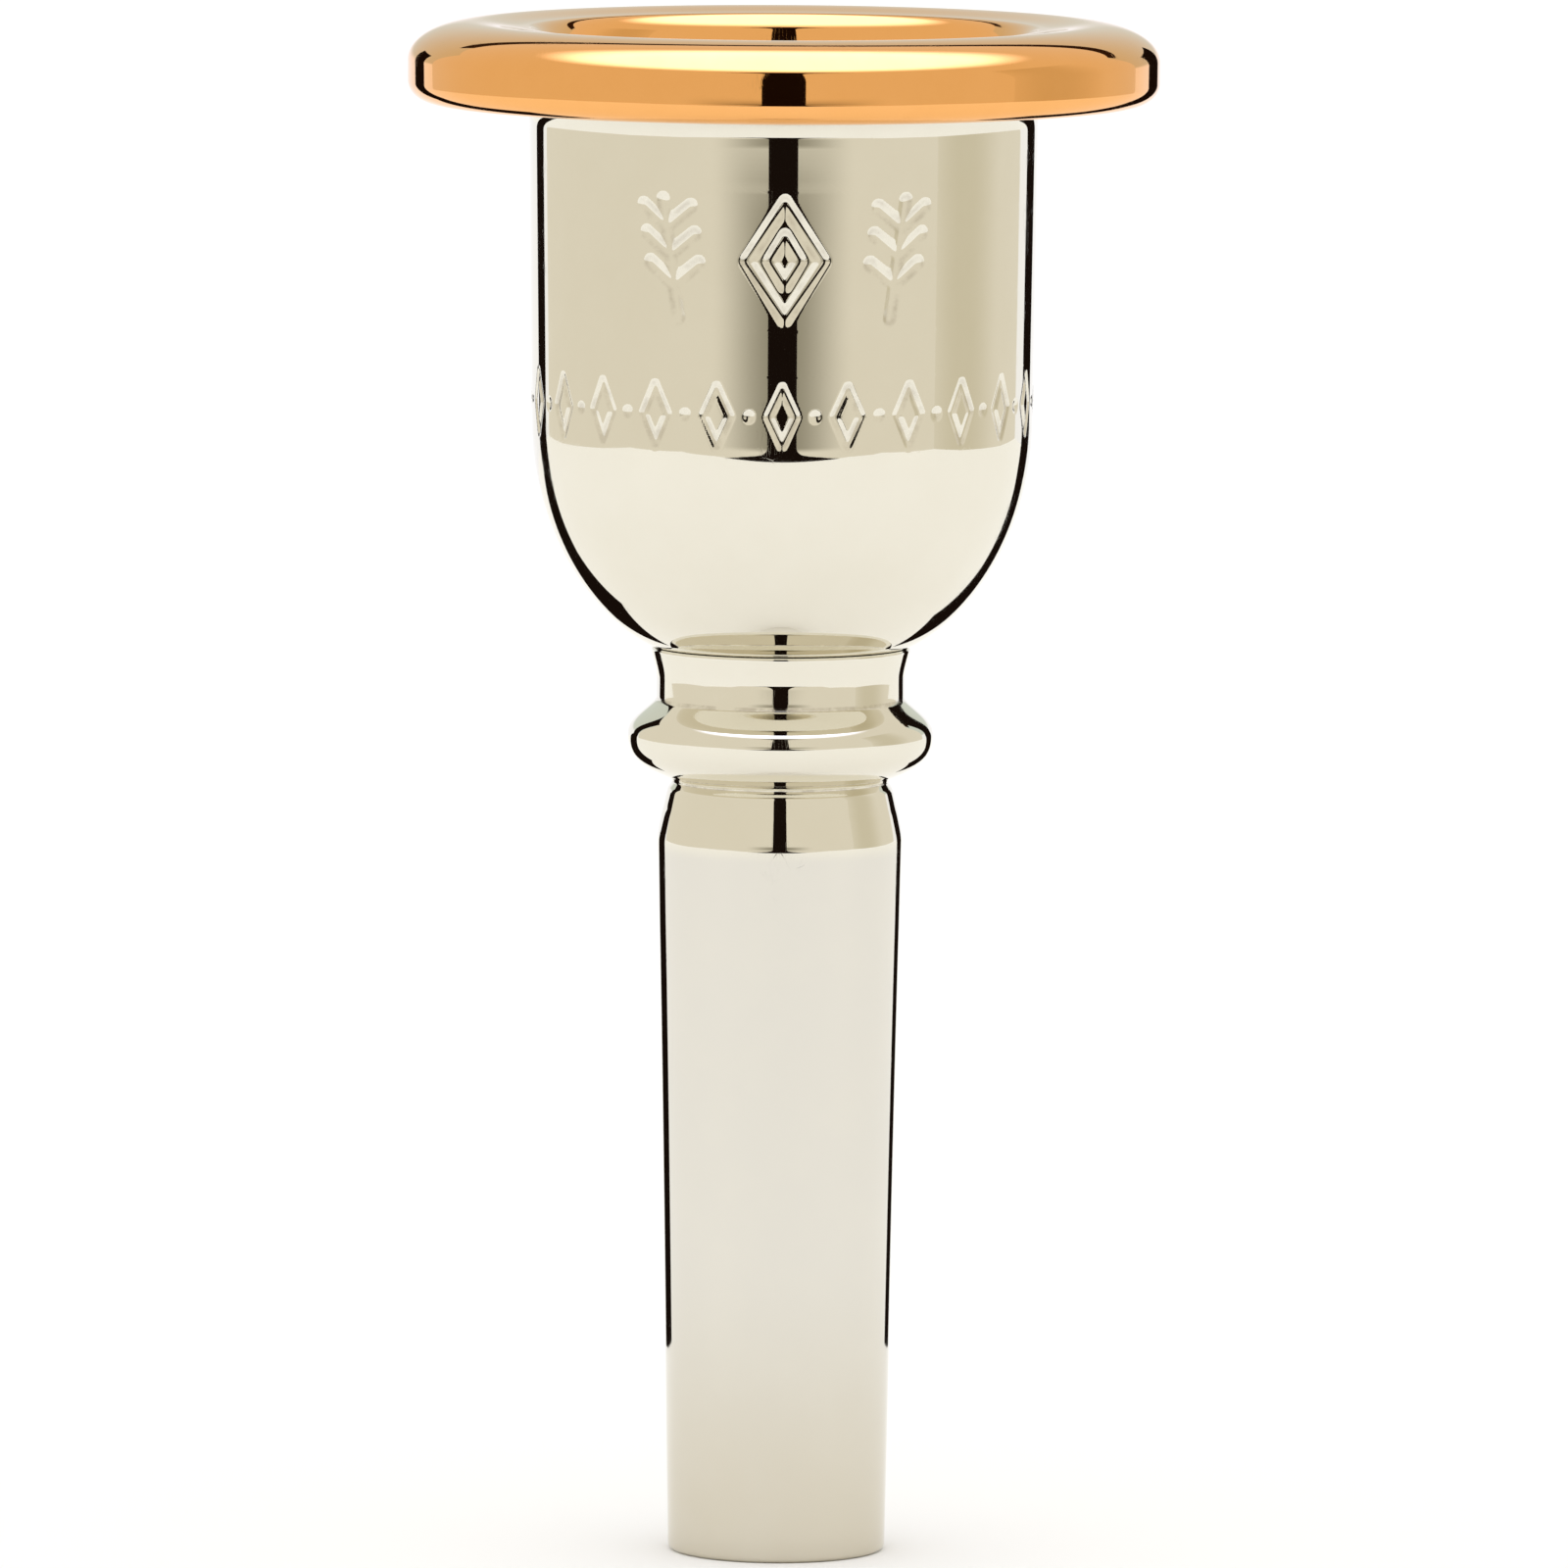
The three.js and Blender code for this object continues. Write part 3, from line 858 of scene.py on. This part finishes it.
def platedMetal(name, look):
    material, tree, shader = emptyMaterial(name)
    shader.inputs["Metallic"].default_value = 1
    crease = surfaceValue(tree, "crease")
    cut = surfaceValue(tree, "engraved")
    marks = place(tree, buffingMarks, {"Lines per Metre": look["lines"], "Wave per Metre": look["wave"]})
    scratches = place(tree, hairlines, {"Scratches per Metre": look["scratches"]})["Scratches"]
    touched = place(tree, handling, {"Smudges per Metre": look["smudges"]})
    aged = place(tree, ageing, {"Crease": crease, "Cut": cut, "Patches per Metre": look["patches"]})
    colour = blendColour(tree, touched["Haze"], look["colour"], look["deepColour"])
    colour = blendColour(tree, aged["Rubbed Edge"], colour, look["rubbedColour"], look["rub"])
    colour = blendColour(tree, aged["Tarnish"], colour, look["tarnishColour"], look["tarnish"])
    rough = maths(tree, "MULTIPLY_ADD", marks["Lines"], look["lineRoughness"], look["roughness"])
    # painted shade on the taper, darker towards its end; the end is also rougher with wear
    if "paintedShade" in look:
        values = {"Top": look["paintedShadeTop"], "Fade": look["paintedShadeFade"], "Shade and Wear Reach": look["shadeAndWearReach"]}
        rub = place(tree, taperShade, values)
        colour = blendColour(tree, rub["Dulled"], colour, look["paintedShade"])
        colour = blendColour(tree, rub["Shaded and Worn End"], colour, look["shadedAndWornEnd"])
        rough = maths(tree, "MULTIPLY_ADD", rub["Shaded and Worn End"], look["wornRoughness"], rough)
    rough = maths(tree, "MULTIPLY_ADD", touched["Smudge"], look["smudgeRoughness"], rough)
    rough = maths(tree, "MULTIPLY_ADD", scratches, look["scratchRoughness"], rough)
    rough = maths(tree, "MULTIPLY_ADD", aged["Tarnish"], look["tarnishRoughness"], rough)
    tree.links.new(colour, shader.inputs["Base Color"])
    tree.links.new(rough, shader.inputs["Roughness"])
    height = maths(tree, "MULTIPLY", marks["Lines"], look["lineHeight"])
    height = maths(tree, "MULTIPLY_ADD", marks["Wave"], look["waveHeight"], height)
    raiseSurface(tree, shader, maths(tree, "MULTIPLY_ADD", scratches, -look["scratchHeight"], height))
    return material


# Heights are in thousandths of a millimetre, and marks are counted per metre.
silverLook = {
    "colour": (0.82, 0.79, 0.695),
    "deepColour": (0.785, 0.75, 0.645),
    "rubbedColour": (0.9, 0.88, 0.82),
    "rub": 0.6,
    "tarnishColour": (0.36, 0.31, 0.25),
    "tarnish": 0.55,
    "tarnishRoughness": 0.18,
    "roughness": 0.018,
    "lineRoughness": 0.014,
    "smudgeRoughness": 0.06,
    "scratchRoughness": 0.05,
    "lines": 9000,
    "wave": 240,
    "lineHeight": 0.06,
    "waveHeight": 1.6,
    "scratches": 620,
    "scratchHeight": 0.25,
    "smudges": 110,
    "patches": 900,
}
goldLook = dict(
    silverLook,
    colour=(0.94, 0.475, 0.165),
    deepColour=(0.90, 0.44, 0.14),
    rubbedColour=(0.95, 0.56, 0.24),
    tarnishColour=(0.30, 0.13, 0.04),
    tarnish=0.4,
    smudges=140,
    waveHeight=1.4,
)
washLook = dict(
    goldLook,
    colour=(0.93, 0.63, 0.34),
    deepColour=(0.90, 0.58, 0.29),
    roughness=0.09,
    lineRoughness=0.08,
    lineHeight=0.3,
)
shankLook = dict(
    silverLook,
    smudges=90,
    # painted shade on the taper, darker towards its end
    paintedShade=(0.725, 0.70, 0.635),
    paintedShadeTop=shankShape["taper"]["length"] * mm,
    paintedShadeFade=0.9 * mm,
    shadedAndWornEnd=(0.655, 0.61, 0.505),
    shadeAndWearReach=17 * mm,
    wornRoughness=0.05,
)

shank.data.materials.append(platedMetal("shankSilverPlate", shankLook))
cup.data.materials.append(platedMetal("cupSilverPlate", silverLook))
cup.data.materials.append(platedMetal("bowlGoldWash", washLook))
rim.data.materials.append(platedMetal("rimGoldPlate", goldLook))

rubberLook = {
    "colour": (0.018, 0.017, 0.016),
    "dustColour": (0.10, 0.095, 0.085),
    "dust": 0.35,
    "roughness": 0.42,
    "dustRoughness": 0.3,
    "smudges": 700,
    "grain": 9000.0,
    "grainHeight": 6.0,
}


def mouldedRubber(name, look):
    material, tree, shader = emptyMaterial(name)
    touched = place(tree, handling, {"Smudges per Metre": look["smudges"]})
    colour = blendColour(tree, touched["Smudge"], look["colour"], look["dustColour"], look["dust"])
    tree.links.new(colour, shader.inputs["Base Color"])
    rough = maths(tree, "MULTIPLY_ADD", touched["Haze"], look["dustRoughness"], look["roughness"])
    tree.links.new(rough, shader.inputs["Roughness"])
    grain = cloudy(tree, onPiece(tree), look["grain"], 2.0)
    raiseSurface(tree, shader, maths(tree, "MULTIPLY", grain, look["grainHeight"]))
    return material


lowerSeal.data.materials.append(mouldedRubber("lowerSealRubber", rubberLook))
upperSeal.data.materials.append(mouldedRubber("upperSealRubber", dict(rubberLook, dust=0.25)))
print("finishes made")


# Studio: a pale floor inside a cloth tent, with a slit for the lens and a black card behind on each side.
studio = {
    "floor": (0.93, 0.92, 0.895),
    "floorReach": 4.0,
    "sky": 1.16,
    "cloth": (0.85, 0.80, 0.688),
    "black": (0.009, 0.005, 0.0035),
    "rightShade": (0.71, 0.655, 0.515),
    "rightFade": (0.02, 0.2),
    "shade": (0.335, 0.31, 0.24),
    "shadeReach": (0.01, 0.165),
    "shadeHeight": (0.017, 0.027, 0.046, 0.056),
    # painted light on the back wall: brighter near the floor, dimmer higher up
    "backLow": (1.05, 1.05, 1.08),
    "backHigh": (0.69, 0.73, 0.67),
    "backFade": (0.075, 0.115),
    # painted shade for the unlit gap under the roof's back edge
    "topGapShade": {"low": 0.319, "from": -0.23, "to": 0.37, "colour": (0.03, 0.015, 0.008)},
    "front": 0.258,
    "side": 0.4,
    "back": 0.4,
    "height": 0.36,
    "corner": ((0.27, -0.257), (0.399, -0.12)),
    "proud": 0.001,  # how far a strip stands in front of its wall
    "slit": {"degrees": 6.4, "endDegrees": 26, "footFlare": 0.034, "topFlare": 0.085, "flarePower": 4},
    "roof": {"light": (3.0, 3.1, 4.1), "core": 0.15, "edge": 0.265},
}

# Low and high: distance from the bore, and the degrees from straight behind that a card covers there.
cards = {
    "levels": (0.0, 0.024, 0.029, 0.034, 0.039, 0.044, 0.097),
    "lowDistance": 0.076,
    "highDistance": 0.084,
    "leftLow": (19.5, 43.5),
    "leftHigh": (37.7, 48.2),
    "rightLow": (19.5, 37.5),
    "rightHigh": (28.5, 42.7),
}

tentFront, tentSide, tentBack, tentHeight = (studio[part] for part in ("front", "side", "back", "height"))


def stageMesh(name, points, faces, material, seen=False):
    mesh = bpy.data.meshes.new(name)
    mesh.from_pydata(points, [], faces)
    mesh.materials.append(material)
    card = bpy.data.objects.new(name, mesh)
    scene.collection.objects.link(card)
    card.visible_camera = seen
    card.visible_shadow = seen
    card.visible_diffuse = seen
    return card


def glowing(name, colour):
    material = bpy.data.materials.new(name)
    material.use_nodes = True
    tree = material.node_tree
    tree.nodes.clear()
    light = tree.nodes.new("ShaderNodeEmission")
    light.inputs["Color"].default_value = tuple(colour) + (1,)
    light.inputs["Strength"].default_value = 1
    tree.links.new(light.outputs[0], tree.nodes.new("ShaderNodeOutputMaterial").inputs["Surface"])
    return material


def paintFloor():
    material, _, shader = emptyMaterial("paleFloor")
    shader.inputs["Base Color"].default_value = studio["floor"] + (1,)
    shader.inputs["Roughness"].default_value = 0.9
    shader.inputs["Specular IOR Level"].default_value = 0.1
    return material


def clothWall(name, start, end, material):  # hung between two places on the floor
    corners = [(*start, 0), (*end, 0), (*end, tentHeight), (*start, tentHeight)]
    return stageMesh(name, corners, [(0, 1, 2, 3)], material)


def flatSheet(name, side, front, back, z, material, seen=False):
    corners = [(-side, -front, z), (side, -front, z), (side, back, z), (-side, back, z)]
    return stageMesh(name, corners, [(0, 1, 2, 3)], material, seen)


def strip(name, stations, material):  # stations: pairs of points, from one end to the other
    points = [point for pair in stations for point in pair]
    faces = [(2 * k, 2 * k + 1, 2 * k + 3, 2 * k + 2) for k in range(len(stations) - 1)]
    return stageMesh(name, points, faces, material)


def shadedCloth(name, axis, fade, near, far, window=None):  # runs from one colour to another along an axis
    material = glowing(name, far)
    tree = material.node_tree
    point = splitPoint(tree, onPiece(tree))
    along = ramp(tree, maths(tree, "ABSOLUTE", point[axis]), *fade)
    if window is not None:  # the shade is only there between these heights
        begins = ramp(tree, point[2], window[0], window[1])
        ends = ramp(tree, point[2], window[2], window[3])
        inside = maths(tree, "MULTIPLY", begins, maths(tree, "SUBTRACT", 1.0, ends))
        shade = maths(tree, "MULTIPLY", maths(tree, "SUBTRACT", 1.0, along), inside)
        along = maths(tree, "SUBTRACT", 1.0, shade)
    colour = blendColour(tree, along, near, far)
    tree.links.new(colour, tree.nodes["Emission"].inputs["Color"])
    return material


def roofCloth():  # bright under the lamp, fading to plain cloth
    roof = studio["roof"]
    material = glowing("roofCloth", studio["cloth"])
    tree = material.node_tree
    x, y = splitPoint(tree, onPiece(tree))[:2]
    away = ramp(tree, fromAxis(tree, x, y), roof["core"], roof["edge"])
    colour = blendColour(tree, away, roof["light"], studio["cloth"])
    tree.links.new(colour, tree.nodes["Emission"].inputs["Color"])
    return material


floorReach = studio["floorReach"]
flatSheet("floor", floorReach, floorReach, floorReach, 0, paintFloor(), seen=True)
cloth = glowing("tentCloth", studio["cloth"])
black = glowing("blackCard", studio["black"])
frontCloth = shadedCloth(
    "frontCloth", 0, studio["shadeReach"], studio["shade"], studio["cloth"], studio["shadeHeight"]
)
# painted light: the back wall glows brighter near the floor and dimmer higher up
backCloth = shadedCloth("backCloth", 2, studio["backFade"], studio["backLow"], studio["backHigh"])
rightCloth = shadedCloth("rightCloth", 1, studio["rightFade"], studio["rightShade"], studio["cloth"])
clothWall("frontWall", (-tentSide, -tentFront), (tentSide, -tentFront), frontCloth)
clothWall("backWall", (-tentSide, tentBack), (tentSide, tentBack), backCloth)
for x, sideCloth in ((-tentSide, cloth), (tentSide, rightCloth)):
    clothWall("sideWall", (x, -tentFront), (x, tentBack), sideCloth)
flatSheet("roof", tentSide, tentFront, tentBack, tentHeight, roofCloth())
for sign in (-1, 1):
    near, far = ((sign * out, depth) for out, depth in studio["corner"])
    clothWall("cornerWall", near, far, cloth)

# painted shade: a dark strip standing for the unlit gap between the roof and the back wall
gapShade = studio["topGapShade"]
gapEnds = [(gapShade[end], tentBack - studio["proud"]) for end in ("from", "to")]
gapStations = [((x, y, gapShade["low"]), (x, y, tentHeight)) for x, y in gapEnds]
strip("topGapShade", gapStations, glowing("topGapShade", gapShade["colour"]))


def slitHalf(z):  # the slit opens wide at its foot and its top
    slit = studio["slit"]
    narrow = tentFront * math.tan(math.radians(slit["degrees"]))
    wide = tentFront * math.tan(math.radians(slit["endDegrees"]))
    toEnd = min(1, z / slit["footFlare"], (tentHeight - z) / slit["topFlare"])
    return narrow + (wide - narrow) * (1 - toEnd) ** slit["flarePower"]


footLevels = np.linspace(0, studio["slit"]["footFlare"], 12)
topLevels = np.linspace(tentHeight - studio["slit"]["topFlare"], tentHeight, 16)
slitFace = -tentFront + studio["proud"]
slitLevels = list(footLevels) + list(topLevels)
strip("slit", [((-slitHalf(z), slitFace, z), (slitHalf(z), slitFace, z)) for z in slitLevels], black)


def blackCard(hand, sign):  # wide by the floor, narrow from the waist up
    levels = cards["levels"]
    stations = []
    for z in levels:
        share = min(1, max(0, (z - levels[1]) / (levels[-2] - levels[1])))
        distance = cards["lowDistance"] * (1 - share) + cards["highDistance"] * share
        edges = zip(cards[hand + "Low"], cards[hand + "High"])
        angles = [math.radians(low * (1 - share) + high * share) for low, high in edges]
        stations.append(tuple((sign * distance * math.sin(a), distance * math.cos(a), z) for a in angles))
    strip(hand + "Card", stations, black)


blackCard("left", -1)
blackCard("right", 1)

world = bpy.data.worlds.new("paleRoom")
scene.world = world
world.use_nodes = True
world.node_tree.nodes["Background"].inputs["Color"].default_value = (1, 1, 1, 1)
world.node_tree.nodes["Background"].inputs["Strength"].default_value = studio["sky"]
print("studio set")


view = {
    "away": 0.85,
    "up": 0.129,
    "aim": 0.0399,
    "lens": 377,
    "sensor": 36,
    "farthest": 20,
    "rollDegrees": 0.31,
    "shiftX": 0.0025,
    "shiftY": 0.003,
}
camera = bpy.data.objects.new("camera", bpy.data.cameras.new("camera"))
scene.collection.objects.link(camera)
camera.data.lens = view["lens"]
camera.data.sensor_width = view["sensor"]
camera.data.clip_end = view["farthest"]
camera.data.shift_x = view["shiftX"]
camera.data.shift_y = view["shiftY"]
camera.location = (0, -view["away"], view["up"])
towards = Vector((0, 0, view["aim"])) - camera.location
facing = towards.to_track_quat("-Z", "Y").to_matrix().to_4x4()
roll = Matrix.Rotation(math.radians(view["rollDegrees"]), 4, "Z")
camera.rotation_euler = (facing @ roll).to_euler()
scene.camera = camera
print("camera placed")
